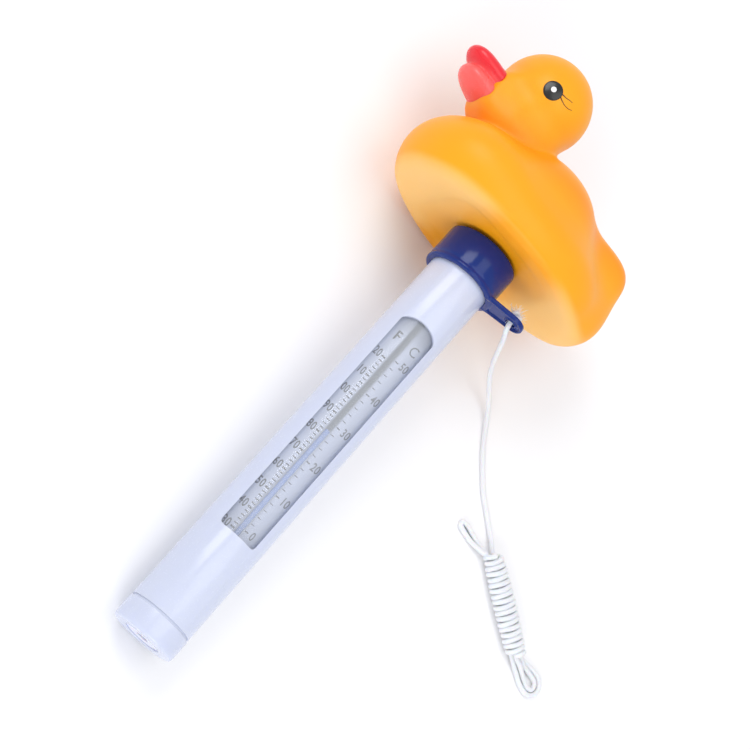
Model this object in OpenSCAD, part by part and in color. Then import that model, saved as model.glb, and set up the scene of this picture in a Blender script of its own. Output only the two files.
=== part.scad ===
// Floating pool thermometer: a hollow vinyl duck, a screw-on collar with a cord lug, and a tube that
// holds a liquid-in-glass thermometer behind a window. The pieces are drawn upright, +Z up the tube
// from the cap's end face and +X towards the bill, and lay() puts them down on the duck's flank.

/* [Tube] */
// Outside diameter of the white tube
tube_d = 24; // [23:0.5:25]
// Wall of the white tube
tube_wall = 1.4; // [1.2:0.1:1.6]
// Height of the collar's lower edge above the end face
collar_z = 166; // [166:1:172]

/* [Window] */
// Direction the window faces, from the bill towards the duck's left
window_az = 76; // [60:1:90]
// Height of the window's lower edge
window_z = 43.5; // [42:0.5:46]
// Height of the window
window_h = 98; // [94:1:100]
// Width of the window across its chord
window_w = 14.8; // [12:0.2:16]

/* [Scale] */
// Height of the 30 degree Fahrenheit mark
scale_z = 46.4; // [46:0.2:48]
// Rise of the scale for ten degrees Fahrenheit
scale_step = 8.8; // [8.4:0.1:9]
// Reading shown at rest, in degrees Celsius
reading_c = 28; // [10:1:40]

/* [Cap] */
// Height of the bottom cap
cap_h = 8.4; // [7:0.2:9]
// Diameter of the cap's drain hole
drain_d = 4.8; // [4:0.2:6]

/* [Collar] */
// Outside diameter of the blue collar
collar_d = 28.6; // [28:0.2:30]
// Height of the blue collar
collar_h = 14.5; // [13:0.5:15]
// Direction the cord lug points, from the bill towards the duck's left
lug_az = 152; // [140:1:170]
// Distance of the lug's hole from the tube's axis
lug_reach = 23.6; // [22:0.2:25]
// Diameter of the lug's hole
lug_hole_d = 4; // [3.4:0.1:4.4]
// Thickness of the lug
lug_t = 1.8; // [1.4:0.1:2.2]

/* [Duck] */
// Half of the body's length
body_a = 47; // [45:0.5:50]
// Half of the body's width
body_b = 33; // [30:0.5:36]
// Radius of the head
head_r = 18.3; // [17.5:0.1:19.5]
// Wall of the vinyl shell
shell_wall = 1.8; // [1.4:0.1:2.2]
// Direction the eyes face, from the bill
eye_az = 70; // [60:0.5:75]
// How far the eyes look down, in degrees
eye_drop = 8; // [5:0.5:12]
// Radius of the painted eye
eye_r = 3.6; // [3.2:0.1:4]

/* [Cord] */
// Diameter of the cord
cord_d = 2; // [1.6:0.1:2.4]

/* [Resting place] */
// Tilt of the tube's axis when the part lies on its flank and its cap's rim
rest_tilt = 6.39; // [5:0.01:7]
// Sideways place of the tube's axis in the frame
rest_x = 1.8; // [0:0.1:6]
// Place of the cap's end face along the frame
rest_y = -126.2; // [-140:0.1:-120]
// Height of the end face's centre
rest_z = 11.92; // [11:0.01:13]

/* [Hidden] */

// fits
run_gap = 0.05;
bite = 0.3;
tube_r = tube_d / 2;
bore_r = tube_r - tube_wall;

// tube and cap, upwards from the end face
gasket_t = 0.8;
tube_bottom = cap_h + gasket_t;
cap_boss_top = tube_bottom + 5;
tube_top = collar_z + 9.2;
collar_web_z = tube_top + gasket_t;
collar_top = collar_z + collar_h;
web_hole_r = 8;
neck_bead = 5;
lug_r = 5.2;
lip = 0.15;
rim_out = 0.15;
disc_seat_r = 7.05;

// sealed inside
sleeve_r = bore_r - run_gap;
sleeve_in = sleeve_r - 0.9;
ballast_z = 15;
plug_z = 21;
bulb_z = 24;
stem_z = 38;
glass_top = 148;
top_plug_h = 6;

// scale and liquid: the card stands in front of the axis, and the glass in front of the card
card_x = 3.4;
card_t = 0.6;
card_w = 16;
glass_r = 1.5;
liquid_r = 1;
bulb_r = 2.6;
bulb_in = 2;
glass_foot = 0.6;
film = 0.03;
clip_w = 0.7;
clip_h = 2;
clip_foot = 4.5;
glass_x = card_x + glass_r + 0.02;
mark_t = 0.1;
mark_w = 1.5;
deg_c = scale_step * 0.18;
zero_c = scale_z + 2 * scale_step / 10;
liquid_top = zero_c + reading_c * deg_c;
tip_h = 3;

// duck
duck_z = collar_top;
neck_hole_r = 10;
head_c = [20.9, 0, 236.8];
bill_root = 40.4;
slices = 44;
inner_slices = 22;
spokes = 48;

// cord: the knot sits on the lug, and the route is in the frame of the resting part
knot_r = 2.5;
cord_r = cord_d / 2;
cord_sides = 8;
cord_route = [[22.6, 41.4, 41.9], [22.6, 38.3, 41.4], [23.7, 35.8, 40], [26.2, 34.8, 37],
              [30.2, 34.3, 30.5], [35.2, 34.1, 22], [41.2, 33.8, 13.5], [47.2, 32.8, 7.6],
              [53.2, 29.8, 3.6], [57.7, 25.3, 1.7], [60.7, 21.3, 1.1], [64.7, 15.8, 1.1],
              [69.7, 10.3, 1.1], [74.7, 5.3, 1.1], [80.7, 0.8, 1.1], [85.2, -2.7, 1.3],
              [89.2, -6.2, 1.9]];
fold_end = [77.2, -9.2];
bundle_ends = [[93.7, -11.2], [120.2, -27.7]];
loop_end = [135.7, -35.2];

// Turns and lowers a piece drawn upright into its resting place
module lay() {
    translate([rest_x, rest_y, rest_z]) rotate([rest_tilt, 0, 0]) rotate([90, 0, 180]) children();
}

module ring(r_out, r_in, z, h) {
    translate([0, 0, z]) difference() {
        cylinder(r = r_out, h = h, $fn = 96);
        translate([0, 0, -1]) cylinder(r = r_in, h = h + 2, $fn = 96);
    }
}

module disc(r, z, h) {
    translate([0, 0, z]) cylinder(r = r, h = h, $fn = 96);
}

// Places its children on the line that faces the window, at a distance from the tube's axis
module facing(x, z) {
    rotate([0, 0, window_az]) translate([x, 0, z]) children();
}

// ---- duck ----

// Distance-like field of a rounded block with centre c and half sizes s, from an ellipsoid (n = 2) up
function lobe(p, c, s, n = 2) =
    (pow(pow(abs(p.x - c.x) / s.x, n) + pow(abs(p.y - c.y) / s.y, n) + pow(abs(p.z - c.z) / s.z, n), 1 / n)
     - 1) * min(s);

function blend(a, b, k) = let (h = max(k - abs(a - b), 0) / k) min(a, b) - h * h * k / 4;

// Field of the duck's skin, below zero inside
function duck_field(p) =
    let (
        body = lobe(p, [0, 0, 188.5], [body_a, body_b, 23.6]),
        chest = lobe(p, [24, 0, 196], [23, 27, 16.6]),
        tail = lobe(p, [-29.8, 0, 200.5], [19.2, 14, 18], 3.5),
        back = lobe(p, [-2, 0, 208.4], [25, 24, 16.6]),
        neck = lobe(p, [21.5, 0, 219.4], [16.6, 14.6, 11.4], 2.6),
        muzzle = lobe(p, [33.5, 0, 223.4], [8.4, 8.6, 9.2], 4),
        head = lobe(p, head_c, [head_r, head_r, head_r]),
        low = blend(blend(body, chest, 6), blend(tail, back, 4), 8),
        skin = blend(low, blend(blend(head, muzzle, 5), neck, 4), 1.8)
    )
    -blend(-skin, p.z - duck_z, 2.5);

// Centre of the slice at height z
function slice_x(z) = head_c.x * pow(max(0, min(1, (z - 190) / 30)), 2);

function reach(z, a, inset, lo = 0, hi = 60, n = 16) =
    n == 0 ? (lo + hi) / 2 :
    let (m = (lo + hi) / 2, f = duck_field([slice_x(z) + m * cos(a), m * sin(a), z]))
    f < -inset ? reach(z, a, inset, m, hi, n - 1) : reach(z, a, inset, lo, m, n - 1);

function slice(z, inset) =
    [for (i = [0:spokes - 1]) let (a = i * 360 / spokes, r = reach(z, a, inset))
        [slice_x(z) + r * cos(a), r * sin(a), z]];

function hoop(r, z) =
    [for (i = [0:spokes - 1]) let (a = i * 360 / spokes) [r * cos(a), r * sin(a), z]];

// Heights that crowd towards both ends
function heights(z0, z1, n) =
    [for (i = [0:n - 1]) z0 + (z1 - z0) * (1 - cos(180 * (i + 0.7) / (n + 0.4))) / 2];

module duck_shell() {
    top = head_c.z + head_r;
    outer = [hoop(neck_hole_r, duck_z), for (z = heights(duck_z, top, slices)) slice(z, 0)];
    inner = [hoop(neck_hole_r, duck_z + shell_wall),
             for (z = heights(duck_z + shell_wall, top - shell_wall, inner_slices)) slice(z, shell_wall)];
    points = [for (r = outer, p = r) p, for (r = inner, p = r) p,
              [head_c.x, 0, top], [head_c.x, 0, top - shell_wall]];
    n_out = len(outer);
    n_in = len(inner);
    base = n_out * spokes;
    apex = (n_out + n_in) * spokes;
    faces = [
        for (j = [0:n_out - 2], i = [0:spokes - 1]) let (k = (i + 1) % spokes)
            each [[j * spokes + i, (j + 1) * spokes + i, (j + 1) * spokes + k],
                  [j * spokes + i, (j + 1) * spokes + k, j * spokes + k]],
        for (i = [0:spokes - 1]) [(n_out - 1) * spokes + i, apex, (n_out - 1) * spokes + (i + 1) % spokes],
        for (j = [0:n_in - 2], i = [0:spokes - 1]) let (k = (i + 1) % spokes)
            each [[base + j * spokes + i, base + (j + 1) * spokes + k, base + (j + 1) * spokes + i],
                  [base + j * spokes + i, base + j * spokes + k, base + (j + 1) * spokes + k]],
        for (i = [0:spokes - 1])
            [base + (n_in - 1) * spokes + i, base + (n_in - 1) * spokes + (i + 1) % spokes, apex + 1],
        for (i = [0:spokes - 1]) let (k = (i + 1) % spokes)
            each [[i, k, base + k], [i, base + k, base + i]]
    ];
    color("gold") lay() polyhedron(points, faces);
}

module mandible(root, root_size, tip, tip_size) {
    hull() {
        translate(root) scale(root_size) sphere(r = 1, $fn = 28);
        translate(tip) scale(tip_size) sphere(r = 1, $fn = 28);
    }
}

module bill() {
    color("red") lay() difference() {
        union() {
            mandible([41, 0, 227.3], [4, 7.8, 4.8], [49.4, 0, 228.9], [5.6, 6.4, 4]);
            mandible([41, 0, 220.4], [4, 7.8, 4.5], [47, 0, 222], [5.6, 6, 3.6]);
        }
        translate([bill_root - 20, -15, 200]) cube([20, 30, 50]);
    }
}

module eyes() {
    color("black") lay() for (side = [-1, 1]) intersection() {
        translate(head_c) difference() {
            sphere(r = head_r + 0.15, $fn = 96);
            sphere(r = head_r - bite, $fn = 96);
        }
        translate(head_c) rotate([0, 90 + eye_drop, side * eye_az]) cylinder(r = eye_r, h = 30, $fn = 48);
    }
}

// ---- collar ----

module collar() {
    color("navy") lay() difference() {
        union() {
            rotate_extrude($fn = 96) polygon([
                [0, collar_z], [collar_d / 2 + lip, collar_z], [collar_d / 2 + lip, collar_z + 0.8],
                [collar_d / 2, collar_z + 2], [collar_d / 2, collar_top - 0.6],
                [collar_d / 2 - 0.6, collar_top], [neck_hole_r - 0.1, collar_top],
                [neck_hole_r - 0.1, duck_z + shell_wall], [neck_hole_r + 0.6, duck_z + shell_wall + 0.3],
                [neck_hole_r - 0.4, duck_z + neck_bead], [0, duck_z + neck_bead]]);
            rotate([0, 0, lug_az]) translate([0, 0, collar_z]) linear_extrude(lug_t) hull() {
                translate([lug_reach, 0]) circle(r = lug_r, $fn = 48);
                translate([10, -6.5]) square([1, 13]);
            }
        }
        translate([0, 0, collar_z - 1])
            cylinder(r = tube_r + run_gap, h = collar_web_z - collar_z + 1, $fn = 96);
        translate([0, 0, collar_web_z - 1]) cylinder(r = web_hole_r, h = 40, $fn = 96);
        rotate([0, 0, lug_az]) translate([lug_reach, 0, collar_z - 1])
            cylinder(d = lug_hole_d, h = lug_t + 2, $fn = 48);
    }
}

module collar_gasket() {
    color("gainsboro") lay() ring(tube_r - 0.1, bore_r, tube_top, gasket_t);
}

// ---- tube ----

// Outline of the window: a long slot with an arched top and softly rounded corners
module window_outline() {
    arch = window_w * 0.62;
    intersection() {
        hull() for (y = [-1, 1], x = [0.12, 1])
            translate([y * (window_w / 2 - 2.4), x == 1 ? window_h - 2.4 : 2.4]) circle(r = 2.4, $fn = 32);
        union() {
            translate([0, window_h - arch]) circle(r = arch, $fn = 64);
            translate([-window_w, 0]) square([2 * window_w, window_h - 3.6]);
        }
    }
}

module outer_tube() {
    color("ghostwhite") lay() difference() {
        ring(tube_r, bore_r, tube_bottom, tube_top - tube_bottom);
        rotate([0, 0, window_az]) translate([0, 0, window_z]) rotate([90, 0, 90])
            linear_extrude(tube_r + 1) window_outline();
    }
}

module window_sleeve() {
    color("azure", 0.3) lay() ring(sleeve_r, sleeve_in, ballast_z, glass_top + top_plug_h - ballast_z);
}

module top_plug() {
    color("white") lay() disc(sleeve_in - run_gap, glass_top, top_plug_h);
}

module bottom_plug() {
    color("white") lay() disc(sleeve_in - run_gap, plug_z, bulb_z - plug_z);
}

// The card is notched round the bulb
module scale_card() {
    notch_r = bulb_r + run_gap;
    color("lightsteelblue") lay() facing(card_x - card_t, bulb_z) difference() {
        translate([0, -card_w / 2, 0]) cube([card_t, card_w, glass_top - bulb_z]);
        translate([-1, -notch_r, -1]) cube([card_t + 2, 2 * notch_r, stem_z - bulb_z + 1]);
    }
}

module tick(y, z, h) {
    facing(card_x, z - h / 2) translate([-mark_t / 2, y, 0]) cube([mark_t, mark_w, h]);
}

module scale_marks() {
    color("black") lay() {
        for (f = [30:2:120])
            tick(-1.6 - mark_w, scale_z + (f - 30) * scale_step / 10, f % 10 == 0 ? 0.55 : 0.28);
        for (c = [0:2:50]) tick(1.7, zero_c + c * deg_c, c % 10 == 0 ? 0.38 : 0.26);
    }
}

module glass_profile(r_bulb, r_stem, z0, z1) {
    polygon([[0, z0], [r_bulb * 0.7, z0], [r_bulb, z0 + r_bulb * 0.4], [r_bulb, stem_z - 4],
             [r_stem, stem_z], [r_stem, z1], [0, z1]]);
}

module glass_capillary() {
    color("azure", 0.3) lay() facing(glass_x, 0) rotate_extrude($fn = 48) difference() {
        glass_profile(bulb_r, glass_r, bulb_z, glass_top);
        glass_profile(bulb_in, liquid_r + film, bulb_z + glass_foot, glass_top - 2);
    }
}

module liquid_column() {
    color("cornflowerblue") lay() facing(glass_x, 0) rotate_extrude($fn = 32)
        glass_profile(bulb_in - film, liquid_r, bulb_z + glass_foot, liquid_top - tip_h);
}

module liquid_tip() {
    color("cornflowerblue") lay() facing(glass_x, liquid_top - tip_h)
        cylinder(r = liquid_r, h = tip_h, $fn = 32);
}

// Each clip is a saddle over the stem, with two feet flat on the card
module capillary_clips() {
    color("silver") lay() for (z = [stem_z + 1, glass_top - 3]) facing(glass_x, z) difference() {
        union() {
            cylinder(r = glass_r + clip_w, h = clip_h, $fn = 48);
            translate([-glass_r, -clip_foot, 0]) cube([clip_w, 2 * clip_foot, clip_h]);
        }
        translate([0, 0, -1]) cylinder(r = glass_r + 0.02, h = clip_h + 2, $fn = 48);
        translate([-glass_r - 5, -clip_foot - 1, -1]) cube([5, 2 * clip_foot + 2, clip_h + 2]);
    }
}

module ballast_weight() {
    color("gray") lay() disc(sleeve_in - run_gap, ballast_z, plug_z - ballast_z);
}

// ---- cap ----

module bottom_cap() {
    color("ghostwhite") lay() difference() {
        rotate_extrude($fn = 96) polygon([
            [0, 0], [tube_r - 1.1, 0], [tube_r - 0.2, 0.4], [tube_r + rim_out, 1.4],
            [tube_r + rim_out, cap_h - 0.3], [tube_r - rim_out, cap_h], [bore_r - run_gap, cap_h],
            [bore_r - run_gap, cap_boss_top], [0, cap_boss_top]]);
        translate([0, 0, 3]) cylinder(r = 8.6, h = 30, $fn = 96);
        translate([0, 0, -1]) cylinder(r = disc_seat_r, h = 3, $fn = 96);
        translate([0, 0, -1]) cylinder(d = drain_d, h = 10, $fn = 48);
    }
}

module cap_disc() {
    color("lavender") lay() ring(disc_seat_r - run_gap, drain_d / 2, 0.3, 1.7);
}

module cap_gasket() {
    color("gainsboro") lay() ring(tube_r - 0.5, bore_r, cap_h, gasket_t);
}

// ---- cord ----

module at_lug(z) {
    rotate([0, 0, lug_az]) translate([lug_reach, 0, z]) children();
}

module cord_knot() {
    color("white") lay() at_lug(collar_z + lug_t + 1.9) intersection() {
        sphere(r = knot_r, $fn = 32);
        translate([0, 0, -1.9]) cylinder(r = 4, h = 6, $fn = 32);
    }
}

function unit(v) = v / norm(v);
function cross_section(p, t, n) =
    [for (i = [0:cord_sides - 1]) let (a = i * 360 / cord_sides)
        p + cord_r * (cos(a) * n + sin(a) * cross(t, n))];

// Normals carried along the route without twist
function carried(ts, i = 0, n = [0, 0, 1]) =
    i == len(ts) ? [] :
    let (m = unit(n - (n * ts[i]) * ts[i])) concat([m], carried(ts, i + 1, m));

// Catmull-Rom curve through the route's points
function spline(p, q, r, s, t) =
    0.5 * (2 * q + (r - p) * t + (2 * p - 5 * q + 4 * r - s) * t * t + (3 * q - p - 3 * r + s) * t * t * t);

function smooth(pts, n) =
    let (m = len(pts) - 1)
    concat([for (i = [0:m - 1], j = [0:n - 1])
        spline(pts[max(i - 1, 0)], pts[i], pts[i + 1], pts[min(i + 2, m)], j / n)], [pts[m]]);

module cord_tube(path) {
    n = len(path) - 1;
    ts = [for (i = [0:n]) unit(path[min(i + 1, n)] - path[max(i - 1, 0)])];
    ns = carried(ts, 0, abs(ts[0].z) > 0.9 ? [1, 0, 0] : [0, 0, 1]);
    points = [for (i = [0:n], p = cross_section(path[i], ts[i], ns[i])) p];
    faces = [
        [for (i = [0:cord_sides - 1]) i],
        [for (i = [cord_sides - 1:-1:0]) n * cord_sides + i],
        for (j = [0:n - 1], i = [0:cord_sides - 1]) let (k = (i + 1) % cord_sides, a = j * cord_sides)
            each [[a + i, a + cord_sides + i, a + cord_sides + k], [a + i, a + cord_sides + k, a + k]]
    ];
    polyhedron(points, faces);
}

module cord_lead() {
    color("white") cord_tube(smooth(cord_route, 3));
}

module capsule(a, b, r, h) {
    linear_extrude(h) hull() {
        translate(a) circle(r = r, $fn = 32);
        translate(b) circle(r = r, $fn = 32);
    }
}

// The hank lies on the table: a short fold, the wrapped bundle and the loops at its far end
module cord_hank() {
    color("white") union() {
        capsule(fold_end, bundle_ends[0], 2.6, 4.4);
        capsule(bundle_ends[0], bundle_ends[1], 4.6, 6.8);
        capsule(bundle_ends[1], loop_end, 5.6, 4.4);
    }
}

duck_shell();
bill();
eyes();
collar();
collar_gasket();
outer_tube();
window_sleeve();
top_plug();
bottom_plug();
scale_card();
scale_marks();
glass_capillary();
liquid_column();
liquid_tip();
capillary_clips();
ballast_weight();
bottom_cap();
cap_gasket();
cap_disc();
cord_knot();
cord_lead();
cord_hank();
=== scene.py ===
import logging
import math
from dataclasses import dataclass, field
from enum import Enum
from typing import Callable, Iterable, Optional, Sequence

import bmesh
import bpy
import numpy as np
from mathutils import Euler, Matrix, Vector


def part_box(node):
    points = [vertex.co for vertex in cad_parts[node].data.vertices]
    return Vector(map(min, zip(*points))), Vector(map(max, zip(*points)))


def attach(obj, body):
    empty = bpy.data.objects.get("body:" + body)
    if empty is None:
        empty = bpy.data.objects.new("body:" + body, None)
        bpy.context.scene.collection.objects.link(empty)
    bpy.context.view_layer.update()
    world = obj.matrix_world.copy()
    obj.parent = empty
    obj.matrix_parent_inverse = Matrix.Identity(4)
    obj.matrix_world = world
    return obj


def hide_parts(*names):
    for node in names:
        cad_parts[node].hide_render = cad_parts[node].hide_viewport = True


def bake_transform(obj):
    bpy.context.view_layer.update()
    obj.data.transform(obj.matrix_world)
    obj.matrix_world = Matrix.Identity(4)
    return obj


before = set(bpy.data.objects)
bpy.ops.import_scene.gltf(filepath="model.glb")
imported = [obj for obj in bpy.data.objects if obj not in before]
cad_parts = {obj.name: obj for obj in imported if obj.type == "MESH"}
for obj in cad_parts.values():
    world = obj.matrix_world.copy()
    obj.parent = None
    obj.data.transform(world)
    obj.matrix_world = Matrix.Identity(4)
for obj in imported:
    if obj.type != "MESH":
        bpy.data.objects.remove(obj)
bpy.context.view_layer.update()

LOG = logging.getLogger("thermometer")
MM = 0.001

Field = Callable[[np.ndarray], np.ndarray]


# ---------------------------------------------------------------- places


@dataclass(frozen=True)
class Rest:
    """How the upright thermometer is laid down on its flank, in millimetres and degrees."""

    tilt: float = 6.39
    origin: tuple[float, float, float] = (1.8, -126.2, 11.92)

    def turn(self) -> Matrix:
        """Rotation from the upright frame to the part's frame."""
        return Matrix.Rotation(math.radians(self.tilt), 3, "X") @ Euler((math.pi / 2, 0, math.pi)).to_matrix()

    def lay(self, points: Sequence) -> np.ndarray:
        """Takes upright points in millimetres to the part's frame in metres.

        Args:
            points: an N by 3 array of upright points.
        Returns:
            The same points in the part's frame.
        """
        turn = np.array(self.turn())
        return (np.asarray(points, float) @ turn.T + np.array(self.origin)) * MM



REST = Rest()


def facing(azimuth: float, points: np.ndarray) -> np.ndarray:
    """Turns points about the tube's axis.

    Args:
        azimuth: the turn in degrees, from the bill towards the duck's left.
        points: an N by 3 array of upright points.
    Returns:
        The turned points.
    """
    c, s = math.cos(math.radians(azimuth)), math.sin(math.radians(azimuth))
    return np.asarray(points, float) @ np.array([[c, s, 0], [-s, c, 0], [0, 0, 1]])


# ---------------------------------------------------------------- meshes


def new_piece(name: str, points: np.ndarray, faces: Iterable, smooth: bool = True) -> bpy.types.Object:
    """Makes an object from points in metres.

    Args:
        name: the piece's name.
        points: its vertices in the part's frame.
        faces: its faces as tuples of vertex numbers.
        smooth: whether the faces are shaded smooth.
    Returns:
        The linked object, at the origin.
    """
    mesh = bpy.data.meshes.new(name)
    mesh.from_pydata(np.asarray(points, float).tolist(), [], [tuple(int(i) for i in f) for f in faces])
    mesh.validate()
    if smooth:
        mesh.shade_smooth()
    piece = bpy.data.objects.new(name, mesh)
    bpy.context.scene.collection.objects.link(piece)
    return piece


def join_shells(shells: Sequence[tuple[np.ndarray, list]]) -> tuple[np.ndarray, list]:
    """Puts several shells of (points, faces) into one.

    Args:
        shells: the shells.
    Returns:
        The joined points and faces.
    """
    points, faces, base = [], [], 0
    for pts, fcs in shells:
        points.append(pts)
        faces += [tuple(base + i for i in f) for f in fcs]
        base += len(pts)
    return np.concatenate(points), faces


def lathe(profile: Sequence[tuple[float, float]], sides: int = 128) -> tuple[np.ndarray, list]:
    """Turns a closed profile of (radius, height) about the tube's axis.

    Args:
        profile: points that run round the section counter-clockwise, seen with the radius to the right.
        sides: facets round the axis.
    Returns:
        Points and faces. A radius of zero makes a pole.
    """
    angles = np.arange(sides) * 2 * math.pi / sides
    rings, points, faces = [], [], []
    for r, z in profile:
        start = len(points)
        if r < 1e-6:
            points.append((0.0, 0.0, z))
            rings.append([start] * sides)
        else:
            points += [(r * math.cos(a), r * math.sin(a), z) for a in angles]
            rings.append(list(range(start, start + sides)))
    count = len(rings)
    for a in range(count):
        low, high = rings[a], rings[(a + 1) % count]
        for i in range(sides):
            k = (i + 1) % sides
            face = list(dict.fromkeys((low[i], low[k], high[k], high[i])))
            if len(face) > 2:
                faces.append(tuple(face))
    return np.array(points), faces


def rounded(corners: Sequence[tuple[float, float, float]], steps: int = 5) -> list[tuple[float, float]]:
    """Rounds the corners of a closed outline.

    Args:
        corners: points with the radius of each corner.
        steps: segments on each corner.
    Returns:
        The outline's points.
    """
    out = []
    count = len(corners)
    for i, (x, y, radius) in enumerate(corners):
        here = np.array([x, y])
        if radius <= 0:
            out.append((x, y))
            continue
        before = np.array(corners[i - 1][:2]) - here
        after = np.array(corners[(i + 1) % count][:2]) - here
        reach = min(radius, np.linalg.norm(before) * 0.49, np.linalg.norm(after) * 0.49)
        a = here + before / np.linalg.norm(before) * reach
        b = here + after / np.linalg.norm(after) * reach
        for t in np.linspace(0, 1, steps + 1):
            p = (1 - t) ** 2 * a + 2 * t * (1 - t) * here + t * t * b
            out.append((float(p[0]), float(p[1])))
    return out


def surface_net(field_of: Field, low: Sequence[float], high: Sequence[float], step: float,
                relax: int = 3) -> tuple[np.ndarray, list]:
    """Wraps a closed skin round the inside of a field.

    Args:
        field_of: a function that is below zero inside.
        low: lowest corner of the searched box, in millimetres.
        high: highest corner.
        step: width of a cell.
        relax: rounds of evening-out on the surface.
    Returns:
        Points and quads, with the quads facing outwards.
    """
    axes = [np.arange(a, b + step, step) for a, b in zip(low, high)]
    grid = np.stack(np.meshgrid(*axes, indexing="ij"), -1)
    inside = field_of(grid.reshape(-1, 3)).reshape(grid.shape[:3]) < 0
    count = sum(inside[i:inside.shape[0] - 1 + i, j:inside.shape[1] - 1 + j,
                       k:inside.shape[2] - 1 + k].astype(int)
                for i in (0, 1) for j in (0, 1) for k in (0, 1))
    mixed = (count > 0) & (count < 8)
    number = np.full(mixed.shape, -1)
    number[mixed] = np.arange(mixed.sum())
    cells = np.argwhere(mixed)
    points = np.array(low) + (cells + 0.5) * step
    quads = []
    for axis in range(3):
        a, b = (axis + 1) % 3, (axis + 2) % 3
        first = np.take(inside, range(inside.shape[axis] - 1), axis)
        second = np.take(inside, range(1, inside.shape[axis]), axis)
        for flip, edge in ((False, first & ~second), (True, ~first & second)):
            at = np.argwhere(edge)
            at = at[(at[:, a] > 0) & (at[:, b] > 0) & (at[:, a] < mixed.shape[a])
                    & (at[:, b] < mixed.shape[b])]
            ua, ub = np.eye(3, dtype=int)[a], np.eye(3, dtype=int)[b]
            ring = [number[tuple((at - p * ua - q * ub).T)] for p, q in ((1, 1), (0, 1), (0, 0), (1, 0))]
            quads.append(np.stack(ring[::-1] if flip else ring, 1))
    faces = np.concatenate(quads)
    for turn in range(relax + 1):
        points = settle(field_of, points, step)
        if turn < relax:
            points = even_out(points, faces)
    return points, faces.tolist()


def settle(field_of: Field, points: np.ndarray, step: float) -> np.ndarray:
    """Moves points onto the field's zero by Newton's steps.

    Args:
        field_of: the field.
        points: the points to move.
        step: the most that one step may move a point.
    Returns:
        The moved points.
    """
    eps = 0.02
    for _ in range(4):
        slope = np.stack([(field_of(points + eps * axis) - field_of(points - eps * axis)) / (2 * eps)
                          for axis in np.eye(3)], 1)
        size = np.maximum((slope ** 2).sum(1), 1e-4)
        move = -slope * (field_of(points) / size)[:, None]
        length = np.linalg.norm(move, axis=1)
        points = points + move * np.minimum(1, step / np.maximum(length, 1e-9))[:, None]
    return points


def even_out(points: np.ndarray, faces: np.ndarray) -> np.ndarray:
    """Moves each point half way to the mean of its neighbours."""
    total, weight = np.zeros_like(points), np.zeros(len(points))
    for i in range(4):
        a, b = faces[:, i], faces[:, (i + 1) % 4]
        np.add.at(total, a, points[b])
        np.add.at(total, b, points[a])
        np.add.at(weight, a, 1)
        np.add.at(weight, b, 1)
    return 0.5 * points + 0.5 * total / np.maximum(weight, 1)[:, None]


def lobe(p: np.ndarray, centre: Sequence[float], size: Sequence[float], power: float = 2) -> np.ndarray:
    """Field of a rounded block, from an ellipsoid at power 2 to a box at a high power.

    Args:
        p: the points.
        centre: the block's centre.
        size: its half sizes.
        power: how square it is.
    Returns:
        The field, below zero inside.
    """
    q = np.abs((p - np.array(centre)) / np.array(size))
    return ((q ** power).sum(1) ** (1 / power) - 1) * min(size)


def melt(a: np.ndarray, b: np.ndarray, reach: float) -> np.ndarray:
    """Smooth union of two fields within a reach in millimetres."""
    h = np.maximum(reach - np.abs(a - b), 0) / reach
    return np.minimum(a, b) - h * h * reach / 4


def carve(a: np.ndarray, b: np.ndarray, reach: float) -> np.ndarray:
    """Smooth intersection of two fields within a reach in millimetres."""
    return -melt(-a, -b, reach)


def spline(route: Sequence[Sequence[float]], spacing: float) -> np.ndarray:
    """Runs a smooth curve through a route's points.

    Args:
        route: the points.
        spacing: distance between the points that come back.
    Returns:
        Evenly spaced points.
    """
    pts = np.asarray(route, float)
    ext = np.concatenate([[2 * pts[0] - pts[1]], pts, [2 * pts[-1] - pts[-2]]])
    fine = []
    for i in range(1, len(ext) - 2):
        p, q, r, s = ext[i - 1:i + 3]
        for t in np.linspace(0, 1, 16, endpoint=False):
            fine.append(0.5 * (2 * q + (r - p) * t + (2 * p - 5 * q + 4 * r - s) * t * t
                               + (3 * q - p - 3 * r + s) * t ** 3))
    fine = np.array(fine + [pts[-1]])
    run = np.concatenate([[0], np.cumsum(np.linalg.norm(np.diff(fine, axis=0), axis=1))])
    want = np.linspace(0, run[-1], max(8, int(run[-1] / spacing)))
    return np.stack([np.interp(want, run, fine[:, k]) for k in range(3)], 1)


def sweep(path: np.ndarray, radius: Callable[[float, float], float], sides: int,
          ends: float = 1.0) -> tuple[np.ndarray, list, np.ndarray]:
    """Sweeps a round section along a path, with domed ends.

    Args:
        path: the centreline.
        radius: the radius at (distance along, angle round).
        sides: points round the section.
        ends: length of each end's dome, in radii.
    Returns:
        Points, faces and the (distance, angle) of each point.
    """
    tangents = np.gradient(path, axis=0)
    tangents /= np.linalg.norm(tangents, axis=1)[:, None]
    run = np.concatenate([[0], np.cumsum(np.linalg.norm(np.diff(path, axis=0), axis=1))])
    normal = np.cross(tangents[0], [0.31, 0.17, 0.93])
    points, marks = [], []
    for p, t, d in zip(path, tangents, run):
        normal = normal - (normal @ t) * t
        normal /= np.linalg.norm(normal)
        side = np.cross(t, normal)
        for i in range(sides):
            a = 2 * math.pi * i / sides
            r = radius(d, a)
            near = min(d, run[-1] - d)
            dome = ends * r
            if near < dome:
                r *= math.sqrt(max(0.02, 1 - (1 - near / dome) ** 2))
            points.append(p + r * (math.cos(a) * normal + math.sin(a) * side))
            marks.append((d, a))
    faces = [(j * sides + i, j * sides + (i + 1) % sides, (j + 1) * sides + (i + 1) % sides,
              (j + 1) * sides + i)
             for j in range(len(path) - 1) for i in range(sides)]
    faces.append(tuple(range(sides))[::-1])
    faces.append(tuple((len(path) - 1) * sides + i for i in range(sides)))
    return np.array(points), faces, np.array(marks)


# ---------------------------------------------------------------- finishes


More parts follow.
